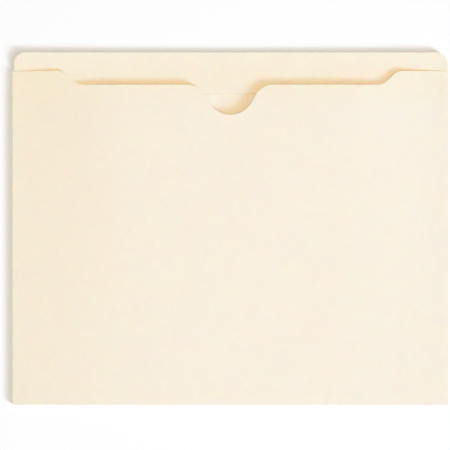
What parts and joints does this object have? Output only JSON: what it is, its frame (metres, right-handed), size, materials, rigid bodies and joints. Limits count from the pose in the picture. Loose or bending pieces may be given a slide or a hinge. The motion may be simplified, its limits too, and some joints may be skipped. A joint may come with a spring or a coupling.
{
  "type": "file jacket",
  "caption": "Flat manila file jacket: a folded card pocket with glued sides, a reinforced straight tab and a cut-down front with a thumb notch, for loose letter-size papers.",
  "frame": {"origin": "centre of the jacket's outline, on the surface that it lies on", "axes": "+X to the right across the jacket seen from the front, +Y from the bottom fold towards the tab, +Z out of the front panel"},
  "size_m": [0.2984, 0.2413, 0.0024],
  "materials": {
    "manila_card": "matte",
    "creased_card": "matte",
    "glue_film": "satin"
  },
  "bodies": {
    "back": {"back_panel": "manila_card", "tab_fold": "creased_card", "tab_reinforcement": "manila_card", "tab_glue": "glue_film", "bottom_fold": "creased_card", "left_side_fold": "creased_card", "right_side_fold": "creased_card", "left_glue_flap": "manila_card", "right_glue_flap": "manila_card", "left_seam_glue": "glue_film", "right_seam_glue": "glue_film"},
    "front": {"front_panel": "manila_card"}
  },
  "joints": [
    {"name": "mouth_open", "type": "hinge", "parent": "back", "child": "front", "pos_m": [0, -0.12021, 0.00076], "axis": [1, 0, 0], "range_deg": [0, 6], "stiffness_Nm_per_rad": 0.8}
  ]
}
